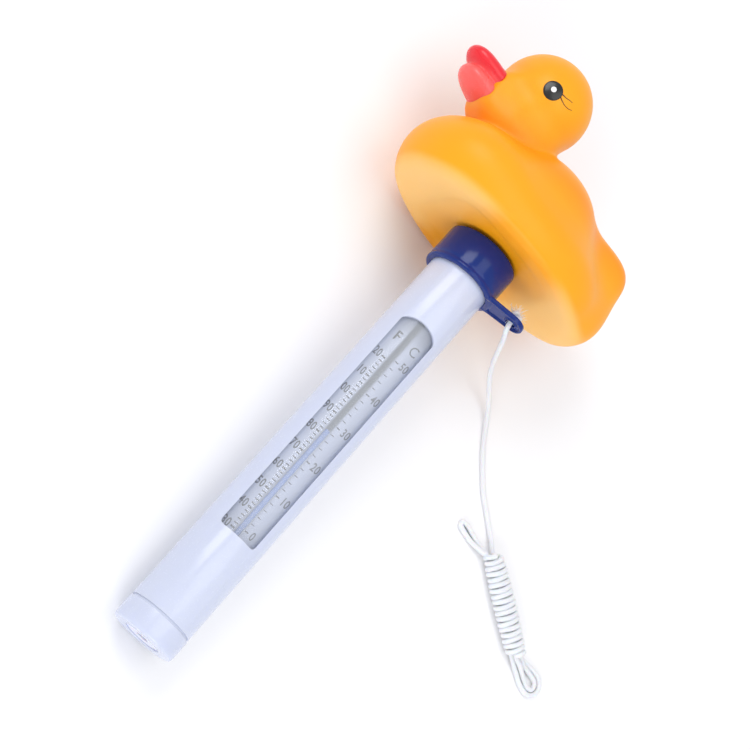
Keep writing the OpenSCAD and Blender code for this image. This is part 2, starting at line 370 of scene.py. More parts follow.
class Nodes:
    """A short way to write a node tree."""

    def __init__(self, tree: bpy.types.NodeTree) -> None:
        """Wraps a tree."""
        self.tree = tree

    def add(self, kind: str, inputs: Optional[dict] = None, **settings: object) -> bpy.types.Node:
        """Adds a node.

        Args:
            kind: the node's type name.
            inputs: values or sockets for its inputs, by name or number.
            settings: attributes of the node.
        Returns:
            The node.
        """
        node = self.tree.nodes.new(kind)
        for key, value in settings.items():
            setattr(node, key, value)
        for key, value in (inputs or {}).items():
            if isinstance(value, bpy.types.NodeSocket):
                self.tree.links.new(value, node.inputs[key])
            else:
                node.inputs[key].default_value = value
        return node

    def ramp(self, factor: bpy.types.NodeSocket,
             stops: Sequence[tuple[float, tuple]]) -> bpy.types.NodeSocket:
        """Adds a colour ramp with the given stops."""
        node = self.add("ShaderNodeValToRGB", {"Fac": factor})
        elements = node.color_ramp.elements
        while len(elements) < len(stops):
            elements.new(0.5)
        for element, (place, colour) in zip(elements, stops):
            element.position = place
            element.color = (*colour, 1)
        return node.outputs["Color"]

    def math(self, operation: str, *values: object) -> bpy.types.NodeSocket:
        """Adds a Math node."""
        return self.add("ShaderNodeMath", dict(enumerate(values)), operation=operation).outputs[0]

    def mix(self, factor: object, a: object, b: object, blend: str = "MIX") -> bpy.types.NodeSocket:
        """Adds a colour mix of a and b."""
        node = self.add("ShaderNodeMix", {0: factor, 6: a, 7: b}, data_type="RGBA", blend_type=blend)
        return node.outputs[2]


def moulded_group() -> bpy.types.NodeTree:
    """Builds the group that gives moulded parts their uneven colour, gloss and faint orange peel.

    Returns:
        A group with Vector, Color, Scale and Unevenness in, and Color, Roughness and Height out.
    """
    name = "moulded_skin"
    if name in bpy.data.node_groups:
        return bpy.data.node_groups[name]
    tree = bpy.data.node_groups.new(name, "ShaderNodeTree")
    for label, kind, way in (("Vector", "NodeSocketVector", "INPUT"), ("Color", "NodeSocketColor", "INPUT"),
                             ("Scale", "NodeSocketFloat", "INPUT"),
                             ("Unevenness", "NodeSocketFloat", "INPUT"),
                             ("Gloss", "NodeSocketFloat", "INPUT"), ("Color", "NodeSocketColor", "OUTPUT"),
                             ("Roughness", "NodeSocketFloat", "OUTPUT"),
                             ("Height", "NodeSocketFloat", "OUTPUT")):
        tree.interface.new_socket(label, in_out=way, socket_type=kind)
    n = Nodes(tree)
    given = n.add("NodeGroupInput").outputs
    drift = n.add("ShaderNodeTexNoise",
                  {"Vector": given["Vector"], "Scale": 42.0, "Detail": 3.0}).outputs["Fac"]
    peel = n.add("ShaderNodeTexNoise", {"Vector": given["Vector"], "Scale": given["Scale"], "Detail": 2.0})
    specks = n.add("ShaderNodeTexNoise", {"Vector": given["Vector"], "Scale": 1900.0, "Detail": 1.0})
    shade = n.math("MULTIPLY_ADD", n.math("SUBTRACT", drift, 0.5), given["Unevenness"], 1.0)
    tint = n.add("ShaderNodeVectorMath", {0: given["Color"], "Scale": shade}, operation="SCALE").outputs[0]
    rough = n.math("MULTIPLY_ADD", n.math("SUBTRACT", drift, 0.45), 0.16, given["Gloss"])
    rough = n.math("MULTIPLY_ADD", n.math("GREATER_THAN", specks.outputs["Fac"], 0.68), 0.08, rough)
    out = n.add("NodeGroupOutput")
    tree.links.new(tint, out.inputs["Color"])
    tree.links.new(rough, out.inputs["Roughness"])
    tree.links.new(peel.outputs["Fac"], out.inputs["Height"])
    return tree


@dataclass(frozen=True)
class Finish:
    """A moulded plastic: its colour, gloss and how light passes through it."""

    name: str
    colour: tuple[float, float, float]
    gloss: float = 0.25
    coat: float = 0.0
    depth: float = 0.0
    scatter: tuple[float, float, float] = (0.004, 0.002, 0.001)
    unevenness: float = 0.08
    grain: float = 260.0
    bump: float = 0.06
    shine: float = 0.5

    def tint(self, n: Nodes, place: bpy.types.NodeSocket) -> object:
        """Colour before the skin's unevenness; a finish with a pattern overrides this."""
        return (*self.colour, 1)

    def build(self) -> bpy.types.Material:
        """Makes the material, or finds it.

        Returns:
            The material.
        """
        if self.name in bpy.data.materials:
            return bpy.data.materials[self.name]
        material = bpy.data.materials.new(self.name)
        material.use_nodes = True
        material.diffuse_color = (*self.colour, 1)
        n = Nodes(material.node_tree)
        bsdf = material.node_tree.nodes["Principled BSDF"]
        place = n.add("ShaderNodeTexCoord").outputs["Object"]
        skin = n.add("ShaderNodeGroup", node_tree=moulded_group())
        material.node_tree.links.new(place, skin.inputs["Vector"])
        tint = self.tint(n, place)
        if isinstance(tint, bpy.types.NodeSocket):
            material.node_tree.links.new(tint, skin.inputs["Color"])
        else:
            skin.inputs["Color"].default_value = tint
        skin.inputs["Scale"].default_value = self.grain
        skin.inputs["Unevenness"].default_value = self.unevenness
        skin.inputs["Gloss"].default_value = self.gloss
        material.node_tree.links.new(skin.outputs["Color"], bsdf.inputs["Base Color"])
        material.node_tree.links.new(skin.outputs["Roughness"], bsdf.inputs["Roughness"])
        bump = n.add("ShaderNodeBump", {"Height": skin.outputs["Height"], "Strength": self.bump,
                                        "Distance": 0.0004})
        material.node_tree.links.new(bump.outputs[0], bsdf.inputs["Normal"])
        bsdf.inputs["Subsurface Weight"].default_value = self.depth
        bsdf.inputs["Subsurface Radius"].default_value = self.scatter
        bsdf.inputs["Subsurface Scale"].default_value = 1.0
        bsdf.inputs["Specular IOR Level"].default_value = self.shine
        bsdf.inputs["Coat Weight"].default_value = self.coat
        bsdf.inputs["Coat Roughness"].default_value = 0.08
        self.extra(n, bsdf, place)
        return material

    def extra(self, n: Nodes, bsdf: bpy.types.Node, place: bpy.types.NodeSocket) -> None:
        """What a finish adds to the plain moulding; nothing here."""


def upright_coordinates(n: Nodes, place: bpy.types.NodeSocket) -> bpy.types.NodeSocket:
    """Turns Object coordinates into upright ones, in metres.

    Args:
        n: the tree.
        place: the Object coordinates.
    Returns:
        A vector whose Z runs up the tube from the cap's end.
    """
    mapping = n.add("ShaderNodeMapping", {"Vector": place}, vector_type="TEXTURE")
    mapping.inputs["Location"].default_value = Vector(REST.origin) * MM
    mapping.inputs["Rotation"].default_value = REST.turn().to_euler()
    return mapping.outputs[0]


@dataclass(frozen=True)
class Vinyl(Finish):
    """Soft duck vinyl, with painted light that turns the underside pale and painted shade that deepens the colour
    at the neck's fold.
    """

    # Painted light: pale is the colour that the underside is lightened to, standing for light thrown up from the
    # floor.
    pale: tuple[float, float, float] = (1.0, 0.62, 0.22)
    # Painted shade: the deeper orange laid round the neck's fold.
    painted_fold_shade: tuple[float, float, float] = (0.98, 0.31, 0.003)

    def tint(self, n: Nodes, place: bpy.types.NodeSocket) -> bpy.types.NodeSocket:
        """Mixes painted light on the underside, the body's colour and painted shade at the neck's fold by height.
        """
        upright = upright_coordinates(n, place)
        height = n.add("ShaderNodeSeparateXYZ", {0: upright}).outputs["Z"]
        noise = n.add("ShaderNodeTexNoise", {"Vector": place, "Scale": 24.0, "Detail": 2.0}).outputs["Fac"]
        height = n.math("MULTIPLY_ADD", n.math("SUBTRACT", noise, 0.5), 0.004, height)
        scaled = n.math("MULTIPLY_ADD", height, 1 / 0.08, -0.18 / 0.08)
        # Painted shade: the ramp deepens the colour in a band at the neck's fold.
        skin = n.ramp(scaled,
                      [(0.0, self.colour), (0.30, self.colour), (0.42, self.painted_fold_shade), (0.56, self.colour),
                               (1.0, self.colour)])
        # Painted light: the underside's pale patches lie towards the bill and the tail, with the body's colour
        # left between them near the collar.
        along = n.add("ShaderNodeSeparateXYZ", {0: upright}).outputs["X"]
        away = n.math("ABSOLUTE", n.math("ADD", n.math("MULTIPLY_ADD", noise, 0.016, -0.008), along))
        ends = n.add("ShaderNodeMapRange", {"Value": away, 1: 0.010, 2: 0.026},
                     interpolation_type="SMOOTHSTEP")
        under = n.add("ShaderNodeMapRange", {"Value": height, 1: 0.1850, 2: 0.1800, 3: 0.0, 4: 0.85},
                      interpolation_type="SMOOTHSTEP")
        return n.mix(n.math("MULTIPLY", ends.outputs[0], under.outputs[0]), skin, (*self.pale, 1))


@dataclass(frozen=True)
class BillVinyl(Finish):
    """Red paint on the bill, with painted light making it pinker below."""

    # Painted light: below is the lighter pink put on the lower bill, where the light falls on it.
    below: tuple[float, float, float] = (1.0, 0.13, 0.12)

    def tint(self, n: Nodes, place: bpy.types.NodeSocket) -> bpy.types.NodeSocket:
        """Mixes from a painted lighter pink below to the paint's red above."""
        height = n.add("ShaderNodeSeparateXYZ", {0: upright_coordinates(n, place)}).outputs["Z"]
        scaled = n.math("MULTIPLY_ADD", height, 1 / 0.022, -0.215 / 0.022)
        return n.ramp(scaled, [(0.0, self.below), (0.38, self.below), (0.5, self.colour), (1.0, self.colour)])


@dataclass(frozen=True)
class Braid(Finish):
    """White braided cord. Its u runs along the cord and its v round it."""

    def tint(self, n: Nodes, place: bpy.types.NodeSocket) -> bpy.types.NodeSocket:
        """Paints shade into the gaps between the strands."""
        # Painted shade: the gaps between the strands take a greyer white.
        return n.mix(self.weave(n), (0.80, 0.80, 0.84, 1), (*self.colour, 1))

    def weave(self, n: Nodes) -> bpy.types.NodeSocket:
        """Height of the crossing strands, from the cord's own UV map."""
        uv = n.add("ShaderNodeSeparateXYZ", {0: n.add("ShaderNodeUVMap", uv_map="run").outputs[0]})
        along = n.math("MULTIPLY", uv.outputs["X"], 2 * math.pi)
        round_ = n.math("MULTIPLY", uv.outputs["Y"], 2 * math.pi * 4)
        one = n.math("ABSOLUTE", n.math("SINE", n.math("ADD", along, round_)))
        two = n.math("ABSOLUTE", n.math("SINE", n.math("SUBTRACT", along, round_)))
        return n.math("POWER", n.math("MAXIMUM", one, two), 2.0)

    def extra(self, n: Nodes, bsdf: bpy.types.Node, place: bpy.types.NodeSocket) -> None:
        """Raises the strands and adds the fibres' sheen."""
        fibre = n.add("ShaderNodeTexNoise", {"Vector": place, "Scale": 2600.0, "Detail": 2.0}).outputs["Fac"]
        height = n.math("MULTIPLY_ADD", fibre, 0.35, self.weave(n))
        bump = n.add("ShaderNodeBump", {"Height": height, "Strength": 0.7, "Distance": 0.00025})
        n.tree.links.new(bump.outputs[0], bsdf.inputs["Normal"])
        bsdf.inputs["Sheen Weight"].default_value = 0.25
        bsdf.inputs["Sheen Roughness"].default_value = 0.5


@dataclass(frozen=True)
class Clear(Finish):
    """Thin clear plastic or glass, drawn as a faint glossy film."""

    opacity: float = 0.12

    def extra(self, n: Nodes, bsdf: bpy.types.Node, place: bpy.types.NodeSocket) -> None:
        """Lets most light through, with a little haze where it is scuffed."""
        haze = n.add("ShaderNodeTexNoise", {"Vector": place, "Scale": 90.0, "Detail": 4.0}).outputs["Fac"]
        n.tree.links.new(n.math("MULTIPLY_ADD", haze, 0.02, self.opacity - 0.01), bsdf.inputs["Alpha"])


@dataclass(frozen=True)
class Metal(Finish):
    """Turned metal."""

    def extra(self, n: Nodes, bsdf: bpy.types.Node, place: bpy.types.NodeSocket) -> None:
        """Makes the plastic a metal."""
        bsdf.inputs["Metallic"].default_value = 1.0


@dataclass(frozen=True)
class Floor(Finish):
    """The pale studio floor."""


class Look:
    """Every finish on the thermometer."""

    duck = Vinyl("duck_vinyl", (0.98, 0.38, 0.006), gloss=0.40, depth=0.16, scatter=(0.004, 0.0026, 0.0008),
                 unevenness=0.08, grain=180.0, bump=0.08, shine=0.32)
    bill = BillVinyl("bill_paint", (0.80, 0.018, 0.030), gloss=0.28, depth=0.35,
                     scatter=(0.004, 0.0008, 0.0006), unevenness=0.14, grain=300.0, bump=0.10)
    eye = Finish("eye_paint", (0.003, 0.002, 0.002), gloss=0.35, shine=0.12)
    glint = Finish("eye_glint", (0.92, 0.92, 0.93), gloss=0.3)
    lash = Finish("lash_paint", (0.03, 0.012, 0.006), gloss=0.3)
    collar = Finish("collar_blue", (0.004, 0.024, 0.190), gloss=0.13, depth=0.05,
                    scatter=(0.0006, 0.0008, 0.002), unevenness=0.20, bump=0.05, shine=0.32)
    tube = Finish("tube_white", (0.60, 0.64, 0.79), gloss=0.20, coat=0.1, depth=0.25,
                  scatter=(0.002, 0.002, 0.0026), unevenness=0.03, bump=0.04)
    disc = Finish("disc_pale", (0.72, 0.73, 0.86), gloss=0.35, depth=0.2, unevenness=0.06)
    gasket = Finish("gasket_pale", (0.66, 0.70, 0.82), gloss=0.5, unevenness=0.06)
    card = Finish("scale_card", (0.56, 0.61, 0.78), gloss=0.45, unevenness=0.10, bump=0.03)
    ink = Finish("scale_ink", (0.004, 0.004, 0.006), gloss=0.6, unevenness=0.6, shine=0.1)
    grey_ink = Finish("scale_ink_grey", (0.05, 0.05, 0.07), gloss=0.6, unevenness=0.5, shine=0.1)
    clear = Clear("clear_plastic", (0.30, 0.34, 0.42), gloss=0.07, opacity=0.02)
    glass = Clear("capillary_glass", (0.55, 0.60, 0.72), gloss=0.05, opacity=0.04)
    liquid = Finish("blue_liquid", (0.045, 0.14, 0.62), gloss=0.12, coat=0.4, depth=0.2,
                    scatter=(0.0004, 0.0008, 0.002))
    cord = Braid("cord_braid", (0.97, 0.97, 0.99), gloss=0.75, depth=0.3, unevenness=0.05)
    steel = Metal("ballast_steel", (0.52, 0.52, 0.54), gloss=0.34, unevenness=0.15)
    floor = Floor("studio_floor", (0.92, 0.92, 0.93), gloss=0.75, unevenness=0.01, bump=0.0)


class Slot(Enum):
    """The record's material slots."""

    DUCK = "yellow_vinyl"
    BILL = "red_vinyl"
    EYE = "eye_paint"
    COLLAR = "blue_plastic"
    TUBE = "white_plastic"
    DISC = "pale_plastic"
    CLEAR = "clear_plastic"
    CARD = "card"
    INK = "black_ink"
    LIQUID = "blue_liquid"
    CORD = "white_cord"


def dress(piece: bpy.types.Object, finish: Finish) -> None:
    """Gives a piece one finish."""
    piece.data.materials.clear()
    piece.data.materials.append(finish.build())


def settle_piece(piece: bpy.types.Object, finish: Finish, body: str, slot: Slot, *nodes: str) -> None:
    """Dresses a piece, ties it to the body that it rides on, hides the CAD nodes that it replaces and logs its
    body and face count.

    Args:
        piece: the piece.
        finish: its finish.
        body: the CAD body that it moves with.
        slot: the record's slot; not used.
        nodes: the CAD nodes that it replaces.
    """
    dress(piece, finish)
    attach(piece, body)
    if nodes:
        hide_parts(*nodes)
    LOG.info("%s rides on %s with %d faces", piece.name, body, len(piece.data.polygons))


def apply_modifiers(piece: bpy.types.Object) -> None:
    """Turns a piece's modifiers into plain mesh."""
    graph = bpy.context.evaluated_depsgraph_get()
    graph.update()
    mesh = bpy.data.meshes.new_from_object(piece.evaluated_get(graph))
    piece.modifiers.clear()
    piece.data = mesh


# ---------------------------------------------------------------- studio


@dataclass
class Studio:
    """Floor, lights and camera."""

    eye: tuple[float, float, float] = (-0.19425, -0.25845, 0.5391)
    right: tuple[float, float, float] = (0.63010, 0.57516, 0.52169)
    up: tuple[float, float, float] = (-0.70562, 0.70456, 0.07548)
    lens: float = 84.2

    def camera(self) -> None:
        """Places the camera."""
        right, up = Vector(self.right).normalized(), Vector(self.up).normalized()
        back = right.cross(up).normalized()
        data = bpy.data.cameras.new("camera")
        data.lens, data.sensor_width, data.clip_start, data.clip_end = self.lens, 36.0, 0.01, 20.0
        camera = bpy.data.objects.new("camera", data)
        camera.matrix_world = Matrix.Translation(self.eye) @ Matrix((right, up, back)).transposed().to_4x4()
        bpy.context.scene.collection.objects.link(camera)
        bpy.context.scene.camera = camera

    def floor(self) -> None:
        """Lays the floor just under the part."""
        reach = 3.0
        floor = new_piece("floor",
                          [(-reach, -reach, 0), (reach, -reach, 0), (reach, reach, 0), (-reach, reach, 0)],
                          [(0, 1, 2, 3)], smooth=False)
        dress(floor, Look.floor)

    def light(self, name: str, place: Sequence[float], aim: Sequence[float], size: float,
              power: float) -> None:
        """Adds a square soft box.

        Args:
            name: its name.
            place: where it hangs.
            aim: what it points at.
            size: its side in metres.
            power: its power in watts.
        """
        data = bpy.data.lights.new(name, "AREA")
        data.shape, data.size, data.energy = "SQUARE", size, power
        lamp = bpy.data.objects.new(name, data)
        turn = (Vector(place) - Vector(aim)).to_track_quat("Z", "Y")
        lamp.matrix_world = Matrix.Translation(place) @ turn.to_matrix().to_4x4()
        bpy.context.scene.collection.objects.link(lamp)

    def build(self) -> None:
        """Makes the whole studio."""
        self.camera()
        self.floor()
        self.light("key", (-0.75, 0.35, 0.85), (0, 0, 0.03), 0.55, 3.8)
        self.light("fill", (0.20, -0.95, 0.50), (0, 0, 0.03), 0.6, 3.6)
        self.light("top", (0.1, 0.1, 1.3), (0, 0, 0), 0.9, 3.4)
        world = bpy.data.worlds.new("studio")
        bpy.context.scene.world = world
        world.use_nodes = True
        world.node_tree.nodes["Background"].inputs["Color"].default_value = (0.96, 0.97, 1.0, 1)
        world.node_tree.nodes["Background"].inputs["Strength"].default_value = 0.74
        bpy.context.scene.view_settings.view_transform = "Standard"


# ---------------------------------------------------------------- cord


@dataclass
class Cord:
    """The tether: a knot on the lug, a lead to the table, and a hank wound round itself."""

    width: float = 2.0
    length: float = 0.731
    lead: list = field(default_factory=lambda: [
        (22.6, 41.4, 41.9), (22.6, 38.3, 41.4), (23.7, 35.8, 40), (26.2, 34.8, 37), (30.2, 34.3, 30.5),
        (35.2, 34.1, 22), (41.2, 33.8, 13.5), (47.2, 32.8, 7.6), (53.2, 29.8, 3.6), (57.7, 25.3, 1.7),
        (60.7, 21.3, 1.1), (64.7, 15.8, 1.1), (69.7, 10.3, 1.1), (74.7, 5.3, 1.1), (80.7, 0.8, 1.1),
        (85.2, -2.7, 1.3), (89.2, -6.2, 1.9)])
    hank_start: tuple[float, float] = (93.7, -11.2)
    hank_end: tuple[float, float] = (120.2, -27.7)
    core: float = 0.95
    wrap: float = 3.05
    middle: float = 3.75
    wrap_start: float = -2.6
    wrap_end: float = 35.6
    turns: int = 18

    def in_hank(self, run: float, side: float, height: float) -> np.ndarray:
        """A point of the hank, from its distance along the hank, across it and above the table."""
        start, end = np.array(self.hank_start), np.array(self.hank_end)
        along = (end - start) / np.linalg.norm(end - start)
        across = np.array([-along[1], along[0]])
        flat = start + run * along + side * across
        return np.array([flat[0], flat[1], height])

    def route(self) -> list:
        """The whole route in millimetres: lead, first loop, fold, second loop and the wraps."""
        mid, c = self.middle, self.core
        low, high = mid - 0.9, mid + 0.9
        strands = [
            (-3, c, low - 0.7), (5, c, low), (18, c, low), (31, c, low - 0.2),
            (36.5, 2.0, 1.8), (40.5, 4.6, 1.15), (45, 7.8, 1.05), (49, 9.0, 1.05), (52, 7.8, 1.05),
            (53.2, 4.8, 1.05), (51.8, 1.8, 1.05), (47.5, 0.1, 1.05), (42, -0.5, 1.3), (36, -1.1, 2.2),
            (30, -c, low - 0.1), (16, -c, low), (2, -c, low - 0.2),
            (-4.5, -2.2, 2.0), (-8.6, -3.8, 1.2), (-12.6, -5.2, 1.1), (-16.0, -6.4, 1.1), (-17.6, -8.0, 1.1),
            (-16.6, -9.1, 1.1), (-13.4, -8.2, 1.1), (-9.2, -6.3, 1.3), (-5, -3.8, 2.8),
            (-0.5, -0.9, high - 0.4),
            (6, c, high), (20, c, high), (31, c, high - 0.1),
            (36.5, 1.6, 3.6), (41, 2.9, 2.2), (45, 5.4, 1.15), (48.4, 6.8, 1.05), (50.4, 6.0, 1.05),
            (51, 4.4, 1.05), (49.6, 2.9, 1.05), (46, 2.2, 1.2), (41, 0.9, 3.0), (36, -0.6, 4.2),
            (30, -c, high - 0.1), (16, -c, high), (4, -c, high), (-1.4, -0.6, mid + 1.6)]
        out = list(map(np.array, self.lead)) + [self.in_hank(*p) for p in strands]
        steps = 14
        for i in range(self.turns * steps + 1):
            share = i / (self.turns * steps)
            a = math.radians(100) + 2 * math.pi * i / steps
            swell = math.sin(math.pi * share)
            run = self.wrap_start + (self.wrap_end - self.wrap_start) * share
            run += 0.30 * math.sin(a + 0.6) + 0.14 * math.sin(5.1 * a / math.pi)
            across = (self.wrap + 0.75 * swell + 0.12 * math.sin(1.7 * a)) * math.cos(a)
            out.append(self.in_hank(run, across, mid + (2.45 + 0.2 * swell) * math.sin(a)))
        out += [self.in_hank(self.wrap_end - 0.4, -0.9, mid + 1.2),
                self.in_hank(self.wrap_end - 3, -0.2, mid)]
        return out

    def strand(self, distance: float, angle: float) -> float:
        """Radius of the braided cord at a place on it."""
        one = abs(math.sin(math.pi * distance / 1.5 + 2 * angle))
        two = abs(math.sin(math.pi * distance / 1.5 - 2 * angle))
        return self.width / 2 * (0.93 + 0.07 * max(one, two) ** 2)

    def build(self) -> None:
        path = spline(self.route(), 0.42)
        points, faces, marks = sweep(path, self.strand, 16)
        cord = new_piece("cord_braided", points * MM, faces)
        self.unwrap(cord, marks)
        knot = self.knot()
        fray = self.fray(knot)
        settle_piece(knot, Look.cord, "float", Slot.CORD, "cord_knot")
        settle_piece(fray, Look.cord, "float", Slot.CORD)
        settle_piece(cord, Look.cord, "float", Slot.CORD, "cord_lead", "cord_hank")
        run = float(np.linalg.norm(np.diff(path, axis=0), axis=1).sum())
        LOG.info("cord is %.0f mm long", run)

    def unwrap(self, piece: bpy.types.Object, marks: np.ndarray, lay_length: float = 1.5) -> None:
        """Writes the cord's UV map: u along it in lay lengths, v round it.

        Args:
            piece: the cord.
            marks: (distance, angle) of each vertex.
            lay_length: distance in which the braid repeats.
        """
        layer = piece.data.uv_layers.new(name="run")
        for polygon in piece.data.polygons:
            angles = [marks[piece.data.loops[i].vertex_index][1] for i in polygon.loop_indices]
            wrapped = max(angles) - min(angles) > math.pi
            for i, angle in zip(polygon.loop_indices, angles):
                turn = angle / (2 * math.pi) + (1 if wrapped and angle < math.pi else 0)
                distance = marks[piece.data.loops[i].vertex_index][0]
                layer.data[i].uv = (distance / lay_length, turn)

    def knot(self) -> bpy.types.Object:
        """Ties the stopper knot that sits on the lug's upper face."""
        low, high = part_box("cord_knot")
        centre = np.array((low + high) / 2)
        t = np.linspace(0, 2 * math.pi, 140, endpoint=False)
        ring = np.stack([np.sin(t) + 1.7 * np.sin(2 * t), np.cos(t) - 1.7 * np.cos(2 * t),
                         -0.9 * np.sin(3 * t)], 1)
        path = np.concatenate([ring, ring[:3]]) * 0.62
        points, faces, marks = sweep(path, lambda d, a: 0.86 * self.strand(d, a), 12)
        turn = np.array(REST.turn())
        piece = new_piece("cord_stopper_knot", points @ turn.T * MM + centre, faces)
        self.unwrap(piece, marks)
        return piece

    def fray(self, knot: bpy.types.Object) -> bpy.types.Object:
        """Scatters loose fibres over the knot with Geometry Nodes.

        Args:
            knot: the knot that the fibres stand on.
        Returns:
            The fibres as a plain mesh.
        """
        tree = bpy.data.node_groups.new("frayed_fibres", "GeometryNodeTree")
        tree.interface.new_socket("Geometry", in_out="OUTPUT", socket_type="NodeSocketGeometry")
        sockets = {}
        for label, kind in (("Knot", "NodeSocketObject"), ("Density", "NodeSocketFloat"),
                            ("Length", "NodeSocketFloat"), ("Thickness", "NodeSocketFloat"),
                            ("Finish", "NodeSocketMaterial")):
            sockets[label] = tree.interface.new_socket(label, in_out="INPUT", socket_type=kind)
        n = Nodes(tree)
        given = n.add("NodeGroupInput").outputs
        info = n.add("GeometryNodeObjectInfo", {"Object": given["Knot"]})
        spots = n.add("GeometryNodeDistributePointsOnFaces",
                      {"Mesh": info.outputs["Geometry"], "Density": given["Density"], "Seed": 7})
        fibre = n.add("GeometryNodeMeshCone", {"Vertices": 4, "Radius Top": given["Thickness"],
                                               "Radius Bottom": given["Thickness"], "Depth": given["Length"]})
        tilt = n.add("FunctionNodeRandomValue", {0: (-0.9, -0.9, 0.0), 1: (0.9, 0.9, 6.28), "Seed": 3},
                     data_type="FLOAT_VECTOR")
        turned = n.add("FunctionNodeRotateRotation", {0: spots.outputs["Rotation"], 1: tilt.outputs[0]},
                       rotation_space="LOCAL")
        size = n.add("FunctionNodeRandomValue", {2: 0.4, 3: 1.0, "Seed": 5}, data_type="FLOAT")
        stood = n.add("GeometryNodeInstanceOnPoints",
                      {"Points": spots.outputs["Points"], "Instance": fibre.outputs["Mesh"],
                       "Rotation": turned.outputs[0], "Scale": size.outputs[1]})
        real = n.add("GeometryNodeRealizeInstances", {0: stood.outputs[0]})
        painted = n.add("GeometryNodeSetMaterial", {"Geometry": real.outputs[0], "Material": given["Finish"]})
        n.add("NodeGroupOutput", {0: painted.outputs[0]})
        piece = new_piece("cord_frayed_fibres", [(0, 0, 0)], [])
        modifier = piece.modifiers.new("fibres", "NODES")
        modifier.node_group = tree
        for label, value in (("Knot", knot), ("Density", 2.2e6), ("Length", 0.0034), ("Thickness", 0.00005),
                             ("Finish", Look.cord.build())):
            modifier[sockets[label].identifier] = value
        apply_modifiers(piece)
        piece.data.uv_layers.new(name="run")
        return piece


# ---------------------------------------------------------------- duck


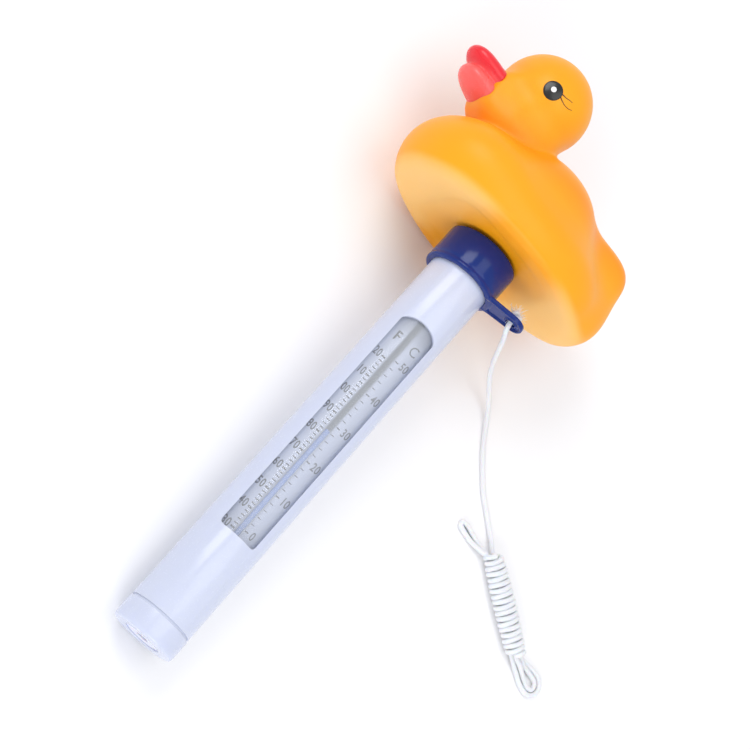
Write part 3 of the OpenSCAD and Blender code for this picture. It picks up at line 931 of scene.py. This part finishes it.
@dataclass
class Duck:
    """The vinyl duck: body, bill, eyes and lashes."""

    base: float = 180.5
    body: tuple[float, float] = (47.0, 33.0)
    head: tuple[float, float, float] = (20.9, 0.0, 236.8)
    head_radius: float = 18.3
    cell: float = 0.8
    eye_azimuth: float = 70.0
    eye_rise: float = -8.0
    eye_radius: float = 3.65

    def skin(self, p: np.ndarray) -> np.ndarray:
        """Field of the body and head, below zero inside."""
        body = lobe(p, (0, 0, self.base + 8), (*self.body, 23.6))
        chest = lobe(p, (24, 0, 196), (23, 27, 16.6))
        tail = lobe(p, (-29.8, 0, 200.5), (19.2, 14, 18), 3.5)
        back = lobe(p, (-2, 0, 208.4), (25, 24, 16.6))
        neck = lobe(p, (21.5, 0, 219.4), (16.6, 14.6, 11.4), 2.6)
        muzzle = lobe(p, (33.5, 0, 223.4), (8.4, 8.6, 9.2), 4)
        head = lobe(p, self.head, (self.head_radius,) * 3)
        low = melt(melt(body, chest, 6), melt(tail, back, 4), 8)
        whole = melt(low, melt(melt(head, muzzle, 5), neck, 4), 1.8)
        whole = carve(whole, self.base - p[:, 2], 2.5)
        recess = lobe(p, (1, 0, self.base), (25, 20.5, 1.3), 4)
        return carve(whole, -recess, 0.8)

    def bill_skin(self, p: np.ndarray) -> np.ndarray:
        """Field of the two halves of the bill."""
        upper = self.half_bill(p, 40.6, 55.2, (7.8, 6.6), (4.8, 4.2), (227.2, 229.2))
        lower = self.half_bill(p, 40.6, 52.7, (8.0, 6.5), (4.7, 3.8), (220.3, 222.2))
        return carve(melt(upper, lower, 1.5), 40.4 - p[:, 0], 0.4)

    def half_bill(self, p: np.ndarray, root: float, tip: float, width: tuple, depth: tuple,
                  height: tuple) -> np.ndarray:
        """Field of one half of the bill: an ellipse that tapers to a rounded tip.

        Args:
            p: the points.
            root: where it leaves the face, from the axis.
            tip: where it ends.
            width: half widths at its root and tip.
            depth: half depths at its root and tip.
            height: heights of its centre at the root and tip.
        Returns:
            The field.
        """
        t = np.clip((p[:, 0] - root) / (tip - root), 0, 1)
        close = np.sqrt(np.clip(1 - t ** 4, 1e-3, 1))
        w = (width[0] + (width[1] - width[0]) * t) * close
        d = (depth[0] + (depth[1] - depth[0]) * t) * close
        z = height[0] + (height[1] - height[0]) * t
        ring = (np.hypot(p[:, 1] / w, (p[:, 2] - z) / d) - 1) * np.minimum(w, d)
        return carve(ring, p[:, 0] - tip, 0.5)

    def on_head(self, side: int, across: np.ndarray, up: np.ndarray, lift: np.ndarray) -> np.ndarray:
        """Points on the head's skin by their distance from the eye's centre.

        Args:
            side: 1 for the duck's left and -1 for its right.
            across: distances towards the back of the head.
            up: distances up.
            lift: heights above the skin.
        Returns:
            The upright points.
        """
        azimuth = math.radians(self.eye_azimuth) + across / self.head_radius
        rise = math.radians(self.eye_rise) + up / self.head_radius
        out = np.stack([np.cos(azimuth) * np.cos(rise), side * np.sin(azimuth) * np.cos(rise),
                        np.sin(rise)], 1)
        low, high = np.full(len(out), self.head_radius - 2), np.full(len(out), self.head_radius + 4)
        for _ in range(16):
            middle = (low + high) / 2
            inside = self.skin(np.array(self.head) + out * middle[:, None]) < 0
            low, high = np.where(inside, middle, low), np.where(inside, high, middle)
        return np.array(self.head) + out * (low + lift)[:, None]

    def spot(self, side: int, across: float, up: float, radius: float, lift: float) -> tuple[np.ndarray,
                                                                                             list]:
        """A thin domed spot of paint, closed behind.

        Args:
            side: the duck's side.
            across: its centre's distance towards the back.
            up: its centre's distance up.
            radius: its radius.
            lift: its thickness above the skin.
        Returns:
            Points and faces.
        """
        sides, places, faces = 64, [(across, up, lift)], []
        for share, height in ((0.25, lift), (0.5, lift), (0.75, lift), (0.94, lift), (1.0, lift * 0.4),
                              (1.0, -0.3)):
            for i in range(sides):
                a = 2 * math.pi * i / sides
                places.append((across + radius * share * math.cos(a), up + radius * share * math.sin(a),
                               height))
        for i in range(sides):
            k = (i + 1) % sides
            faces.append((0, 1 + i, 1 + k))
            for ring in range(5):
                low, high = 1 + ring * sides, 1 + (ring + 1) * sides
                faces.append((low + i, high + i, high + k, low + k))
        faces.append(tuple(1 + 5 * sides + i for i in range(sides))[::-1])
        if side < 0:
            faces = [f[::-1] for f in faces]
        return self.on_head(side, *np.array(places).T), [f[::-1] for f in faces]

    def lash(self, side: int, stroke: Sequence[tuple[float, float]]) -> tuple[np.ndarray, list]:
        """A tapered brush stroke on the head.

        Args:
            side: the duck's side.
            stroke: points of the stroke as distances from the eye's centre.
        Returns:
            Points and faces.
        """
        line = spline([(a, u, 0) for a, u in stroke], 0.2)
        path = self.on_head(side, *line.T)
        total = np.linalg.norm(np.diff(path, axis=0), axis=1).sum()
        points, faces, _ = sweep(path, lambda d, a: 0.21 - 0.13 * d / total, 8)
        return points, faces

    def build(self) -> None:
        """Makes the duck's pieces."""
        points, faces = surface_net(self.skin, (-54, -37, 178), (54, 37, 259), self.cell)
        settle_piece(new_piece("duck_vinyl_shell", REST.lay(points), faces), Look.duck, "float", Slot.DUCK,
                     "duck_shell")
        points, faces = surface_net(self.bill_skin, (39, -10, 212), (56, 10, 235), 0.4)
        settle_piece(new_piece("duck_bill", REST.lay(points), faces), Look.bill, "float", Slot.BILL, "bill")
        both = (1, -1)
        discs = join_shells([self.spot(s, 0, 0, self.eye_radius, 0.14) for s in both])
        eyes = new_piece("duck_eyes", REST.lay(discs[0]), discs[1])
        settle_piece(eyes, Look.eye, "float", Slot.EYE, "eyes")
        glints = join_shells([self.spot(s, -0.1, 0.4, 1.05, 0.22) for s in both])
        settle_piece(new_piece("duck_eye_glints", REST.lay(glints[0]), glints[1]), Look.glint, "float",
                     Slot.EYE)
        strokes = ([(3.3, 1.3), (5.2, 1.5), (6.8, 2.0), (8.3, 2.3)],
                   [(3.2, 0.3), (4.6, -0.3), (6.6, -0.7), (8.6, -0.4), (10.2, 0.5)])
        lashes = join_shells([self.lash(s, stroke) for s in both for stroke in strokes])
        settle_piece(new_piece("duck_lashes", REST.lay(lashes[0]), lashes[1]), Look.lash, "float", Slot.EYE)


# ---------------------------------------------------------------- collar


@dataclass
class Collar:
    """The blue screw collar with its cord lug."""

    low: float = 166.0
    top: float = 180.5
    radius: float = 14.3
    bore: float = 12.05
    web: float = 176.0
    lug_azimuth: float = 152.0
    lug_reach: float = 23.6
    lug_hole: float = 2.0
    lug_depth: float = 1.8

    def skin(self, p: np.ndarray) -> np.ndarray:
        """Field of the collar, below zero inside."""
        r = np.hypot(p[:, 0], p[:, 1])
        z = p[:, 2]
        lip = 0.15 * np.exp(-((z - self.low - 0.5) / 0.7) ** 2) - 0.12 * np.exp(-((z - self.low
                                                                                   - 1.9) / 0.35) ** 2)
        barrel = carve(r - self.radius - lip, np.maximum(self.low - z, z - self.top), 0.7)
        neck = carve(r - 9.8, np.maximum(self.top - 1 - z, z - self.top - 4), 0.4)
        q = facing(-self.lug_azimuth, p)
        from_hole = np.hypot(q[:, 0] - self.lug_reach, q[:, 1])
        t = np.clip(q[:, 0] / self.lug_reach, 0, 1)
        plate = np.hypot(q[:, 0] - self.lug_reach * t, q[:, 1]) - (6.6 - 1.5 * t)
        lug = carve(plate, np.maximum(self.low - z, z - self.low - self.lug_depth), 0.4)
        pocket = np.maximum(plate + 1.1, z - self.low - 0.55)
        rim = np.maximum(-(from_hole - 2.9), 0)
        lug = carve(lug, -(pocket + rim), 0.25)
        lug = carve(lug, self.lug_hole - from_hole, 0.35)
        whole = melt(barrel, lug, 0.5)
        whole = melt(whole, neck, 0.3)
        bore = np.maximum(r - self.bore, z - self.web)
        whole = carve(whole, -bore, 0.3)
        return carve(whole, 8.0 - r, 0.3)

    def build(self) -> None:
        """Makes the collar."""
        points, faces = surface_net(self.skin, (-32, -18, 164.5), (18, 26, 187), 0.4)
        settle_piece(new_piece("collar_with_lug", REST.lay(points), faces), Look.collar, "float", Slot.COLLAR,
                     "collar")


# ---------------------------------------------------------------- tube


@dataclass
class Tube:
    """The white tube with its window, the cap and the scale behind the window."""

    radius: float = 12.0
    bore: float = 10.6
    low: float = 9.2
    top: float = 175.2
    window_azimuth: float = 76.0
    window_low: float = 43.5
    window_high: float = 141.5
    window_width: float = 14.8
    cap_radius: float = 12.15
    cap_height: float = 8.4

    def window_outline(self) -> list[tuple[float, float]]:
        """Outline of the window: square corners below and an arch above, as (across, height)."""
        w, low, high = self.window_width / 2, self.window_low, self.window_high
        arch = [(w * math.cos(a), high - 3.4 + 3.4 * math.sin(a)) for a in np.linspace(0.0, math.pi, 28)]
        sides = [(-w, low + 1.6), (-w + 0.25, low + 0.7), (-w + 0.8, low + 0.18), (-w + 1.7, low),
                 (w - 1.7, low), (w - 0.8, low + 0.18), (w - 0.25, low + 0.7), (w, low + 1.6)]
        return arch + sides

    def barrel(self) -> bpy.types.Object:
        """Cuts the window out of the tube and rounds its edges."""
        profile = [(self.bore, self.low), (self.radius, self.low), (self.radius, self.top),
                   (self.bore, self.top)]
        points, faces = lathe(profile, 160)
        tube = new_piece("tube_with_window", points, faces, smooth=False)
        outline = self.window_outline()
        count = len(outline)
        cutter_points = [(x, y, z) for x in (4.0, self.radius + 4) for y, z in outline]
        cutter_faces = [tuple(range(count))[::-1], tuple(range(count, 2 * count))]
        cutter_faces += [(i, (i + 1) % count, count + (i + 1) % count, count + i) for i in range(count)]
        cutter = new_piece("window_cutter", facing(self.window_azimuth, np.array(cutter_points)),
                           cutter_faces,
                           smooth=False)
        cut = tube.modifiers.new("window", "BOOLEAN")
        cut.object, cut.operation, cut.solver = cutter, "DIFFERENCE", "EXACT"
        bevel = tube.modifiers.new("edges", "BEVEL")
        bevel.width, bevel.segments, bevel.limit_method = 0.32, 3, "ANGLE"
        bevel.angle_limit, bevel.use_clamp_overlap = math.radians(40), True
        apply_modifiers(tube)
        bpy.data.objects.remove(cutter)
        self.lay_down(tube)
        return tube

    def lay_down(self, piece: bpy.types.Object, sharp: float = 35.0) -> None:
        """Puts an upright mesh in millimetres in its place and smooths it up to an angle."""
        points = np.array([v.co for v in piece.data.vertices])
        piece.data.vertices.foreach_set("co", REST.lay(points).ravel())
        mesh = bmesh.new()
        mesh.from_mesh(piece.data)
        bmesh.ops.recalc_face_normals(mesh, faces=mesh.faces)
        mesh.to_mesh(piece.data)
        mesh.free()
        piece.data.shade_smooth()
        piece.data.set_sharp_from_angle(angle=math.radians(sharp))
        piece.data.update()

    def turned(self, name: str, profile: list) -> bpy.types.Object:
        """Turns a profile into a piece in its place."""
        points, faces = lathe(profile)
        piece = new_piece(name, points, faces)
        self.lay_down(piece, 45.0)
        return piece

    def cap(self) -> bpy.types.Object:
        """The screwed bottom cap, open at its drain hole."""
        r, h = self.cap_radius, self.cap_height
        corners = [(2.4, 2.0, 0.2), (7.05, 2.0, 0.1), (7.05, 0.0, 0.25), (r - 0.9, 0.0, 0.5),
                   (r - 0.25, 0.5, 0.5),
                   (r, 1.6, 0.8), (r, h, 0.35), (10.55, h, 0.1), (10.55, h + 5.8, 0.4), (8.6, h + 5.8, 0.3),
                   (8.6, 3.0, 0.2), (2.4, 3.0, 0.2)]
        return self.turned("bottom_cap_turned", rounded(corners))

    def build(self) -> None:
        """Makes the tube, the cap and its disc, and dresses the gaskets and the hidden pieces."""
        settle_piece(self.barrel(), Look.tube, "tube", Slot.TUBE, "outer_tube")
        settle_piece(self.cap(), Look.tube, "cap", Slot.TUBE, "bottom_cap")
        disc = rounded([(2.4, 0.3, 0.25), (5.9, 0.3, 0.1), (6.2, 0.55, 0.1), (7.0, 0.55, 0.1),
                        (7.0, 2.0, 0.1),
                        (2.4, 2.0, 0.1)])
        settle_piece(self.turned("cap_drain_disc", disc), Look.disc, "cap", Slot.DISC, "cap_disc")
        for node in ("cap_gasket", "collar_gasket"):
            dress(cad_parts[node], Look.gasket)
        for node in ("top_plug", "bottom_plug"):
            dress(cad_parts[node], Look.tube)
        for node in ("ballast_weight", "capillary_clips"):
            dress(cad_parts[node], Look.steel)


# ---------------------------------------------------------------- scale


@dataclass
class Scale:
    """The card, its printed marks and numbers, the glass and the liquid."""

    azimuth: float = 76.0
    card: float = 3.4
    thirty_f: float = 46.4
    ten_degrees: float = 8.8
    reading: float = 28.0
    glass_low: float = 24.0
    glass_radius: float = 1.5
    liquid_radius: float = 1.0
    stem: float = 38.0
    tip: float = 3.0

    def height(self, fahrenheit: float) -> float:
        """Height of a reading on the card."""
        return self.thirty_f + (fahrenheit - 30) * self.ten_degrees / 10

    def marks(self, name: str, first: float, step: float, count: int, low: float, size: tuple) -> np.ndarray:
        """Prints a row of marks with Geometry Nodes.

        Args:
            name: the row's name.
            first: height of the first mark.
            step: distance between marks.
            count: how many there are.
            low: the row's place across the card.
            size: thickness, width and height of one mark.
        Returns:
            The row as an object in upright millimetres on the card's plane.
        """
        tree = bpy.data.node_groups.get("printed_marks") or self.mark_tree()
        row = new_piece(name, [(0, 0, 0)], [])
        modifier = row.modifiers.new("marks", "NODES")
        modifier.node_group = tree
        names = {item.name: item.identifier for item in tree.interface.items_tree if item.in_out == "INPUT"}
        modifier[names["Count"]] = count
        modifier[names["Start"]] = (self.card, low + size[1] / 2, first)
        modifier[names["Step"]] = (0.0, 0.0, step)
        modifier[names["Size"]] = size
        modifier[names["Finish"]] = Look.ink.build()
        apply_modifiers(row)
        return row

    def mark_tree(self) -> bpy.types.NodeTree:
        """Builds the tree that repeats one mark up the card."""
        tree = bpy.data.node_groups.new("printed_marks", "GeometryNodeTree")
        tree.interface.new_socket("Geometry", in_out="OUTPUT", socket_type="NodeSocketGeometry")
        for label, kind in (("Count", "NodeSocketInt"), ("Start", "NodeSocketVector"),
                            ("Step", "NodeSocketVector"),
                            ("Size", "NodeSocketVector"), ("Finish", "NodeSocketMaterial")):
            tree.interface.new_socket(label, in_out="INPUT", socket_type=kind)
        n = Nodes(tree)
        given = n.add("NodeGroupInput").outputs
        line = n.add("GeometryNodeMeshLine", {"Count": given["Count"], "Start Location": given["Start"],
                                              "Offset": given["Step"]})
        bar = n.add("GeometryNodeMeshCube", {"Size": given["Size"]})
        stood = n.add("GeometryNodeInstanceOnPoints",
                      {"Points": line.outputs[0], "Instance": bar.outputs["Mesh"]})
        real = n.add("GeometryNodeRealizeInstances", {0: stood.outputs[0]})
        painted = n.add("GeometryNodeSetMaterial", {"Geometry": real.outputs[0], "Material": given["Finish"]})
        n.add("NodeGroupOutput", {0: painted.outputs[0]})
        return tree

    def take(self, pieces: Sequence[bpy.types.Object]) -> tuple[np.ndarray, list]:
        """Takes the meshes out of pieces and removes the pieces."""
        shells = []
        for piece in pieces:
            shells.append((np.array([v.co for v in piece.data.vertices]),
                           [tuple(f.vertices) for f in piece.data.polygons]))
            bpy.data.objects.remove(piece)
        return join_shells(shells)

    def number(self, text: str, across: float, height: float, size: float, squeeze: float,
               align: str, weight: float = 0.10) -> tuple[np.ndarray, list]:
        """Prints a number or a scale's letter on the card.

        Args:
            text: what is printed.
            across: its place across the card.
            height: height of its middle.
            size: height of the font.
            squeeze: width over height of the letters.
            align: LEFT or RIGHT.
            weight: how much the strokes are thickened.
        Returns:
            Points on the card, upright, and faces.
        """
        data = bpy.data.curves.new("print", "FONT")
        data.body, data.size, data.align_x, data.align_y = text, size, align, "CENTER"
        data.extrude, data.resolution_u, data.space_character, data.offset = 0.03, 3, 1.08, weight
        words = bpy.data.objects.new("print", data)
        bpy.context.scene.collection.objects.link(words)
        graph = bpy.context.evaluated_depsgraph_get()
        mesh = bpy.data.meshes.new_from_object(words.evaluated_get(graph))
        flat = np.array([v.co for v in mesh.vertices])
        points = np.stack([self.card + 0.02 + flat[:, 2], across + flat[:, 0] * squeeze,
                           height + flat[:, 1]], 1)
        faces = [tuple(f.vertices) for f in mesh.polygons]
        bpy.data.objects.remove(words)
        return points, faces

    def printed(self, name: str, shell: tuple[np.ndarray, list], finish: Finish, *nodes: str) -> None:
        """Puts a print on the card."""
        piece = new_piece(name, REST.lay(facing(self.azimuth, shell[0])), shell[1], smooth=False)
        settle_piece(piece, finish, "tube", Slot.INK, *nodes)

    def tube_profile(self, bulb: float, stem: float, low: float, high: float) -> list:
        """Half section of a bulb and stem, for a lathe."""
        foot = bulb * 0.4
        curve = [(bulb * (0.7 + 0.3 * math.sin(a)), low + foot * (1 - math.cos(a)))
                 for a in np.linspace(0, math.pi / 2, 7)]
        neck = [(stem + (bulb - stem) * (0.5 + 0.5 * math.cos(a)), self.stem - 4 + 4 * a / math.pi)
                for a in np.linspace(0, math.pi, 9)]
        return [(0.0, low)] + curve + neck + [(stem, high), (0.0, high)]

    def liquid(self) -> None:
        """Makes the liquid in the bulb and stem, and the moving top of the column."""
        top = self.height(32 + self.reading * 1.8)
        place = np.array([self.card + self.glass_radius + 0.02, 0, 0])
        column_profile = self.tube_profile(1.97, self.liquid_radius, self.glass_low + 0.6, top - self.tip)
        foot, crest = column_profile[-2], column_profile[-1]
        rings = [(self.liquid_radius, z) for z in np.linspace(self.stem + 0.5, foot[1], 60)]
        profile = column_profile[:-2] + rings + [crest]
        points, faces = lathe(profile, 40)
        column = new_piece("liquid_in_stem", REST.lay(facing(self.azimuth, points + place)), faces)
        dress(column, Look.liquid)
        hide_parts("liquid_column")
        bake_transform(column)
        r = self.liquid_radius - 0.002
        dome = [(r * math.cos(a), top - 0.5 + 0.5 * math.sin(a)) for a in np.linspace(0, math.pi / 2, 7)][:-1]
        points, faces = lathe([(0.0, foot[1] - 0.05), (r, foot[1] - 0.05)] + dome + [(0.0, top)], 40)
        tip = new_piece("liquid_meniscus", REST.lay(facing(self.azimuth, points + place)), faces)
        settle_piece(tip, Look.liquid, "liquid_top", Slot.LIQUID, "liquid_tip")

    def build(self) -> None:
        """Makes the scale and dresses the card and the clear pieces."""
        rows = []
        step = self.ten_degrees / 10
        rows.append(self.marks("f_major", self.height(30), 10 * step, 10, -3.2, (0.1, 1.6, 0.66)))
        for unit in (2, 4, 6, 8):
            rows.append(self.marks(f"f_minor_{unit}", self.height(30 + unit), 10 * step, 9, -3.1,
                                   (0.1, 1.5, 0.42)))
        self.printed("fahrenheit_marks", self.take(rows), Look.ink, "scale_marks")
        rows = [self.marks("c_minor", self.height(32), 3.6 * step, 26, 1.7, (0.08, 1.4, 0.32)),
                self.marks("c_major", self.height(32), 18 * step, 6, 1.7, (0.1, 1.4, 0.48))]
        self.printed("celsius_marks", self.take(rows), Look.grey_ink)
        words = [self.number(str(f), -3.8, self.height(f), 4.6, 0.66 if f < 100 else 0.58, "RIGHT")
                 for f in range(30, 121, 10)]
        words.append(self.number("F", -2.5, self.height(120) + 9.0, 5.3, 0.85, "RIGHT", 0.16))
        self.printed("fahrenheit_numbers", join_shells(words), Look.ink)
        words = [self.number(str(c), 4.1, self.height(32 + 1.8 * c), 4.5, 0.66, "LEFT") for c in range(0, 51, 10)]
        words.append(self.number("C", 2.8, self.height(120) + 8.6, 5.6, 0.85, "LEFT", 0.02))
        self.printed("celsius_numbers", join_shells(words), Look.grey_ink)
        self.liquid()
        dress(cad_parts["scale_card"], Look.card)
        dress(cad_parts["window_sleeve"], Look.clear)
        dress(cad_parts["glass_capillary"], Look.glass)


def main() -> None:
    """Builds the studio and every sub-assembly in order."""
    logging.basicConfig(level=logging.INFO, format="%(name)s: %(message)s")
    Studio().build()
    Cord().build()
    Duck().build()
    Collar().build()
    Tube().build()
    Scale().build()


if __name__ == "__main__":
    main()
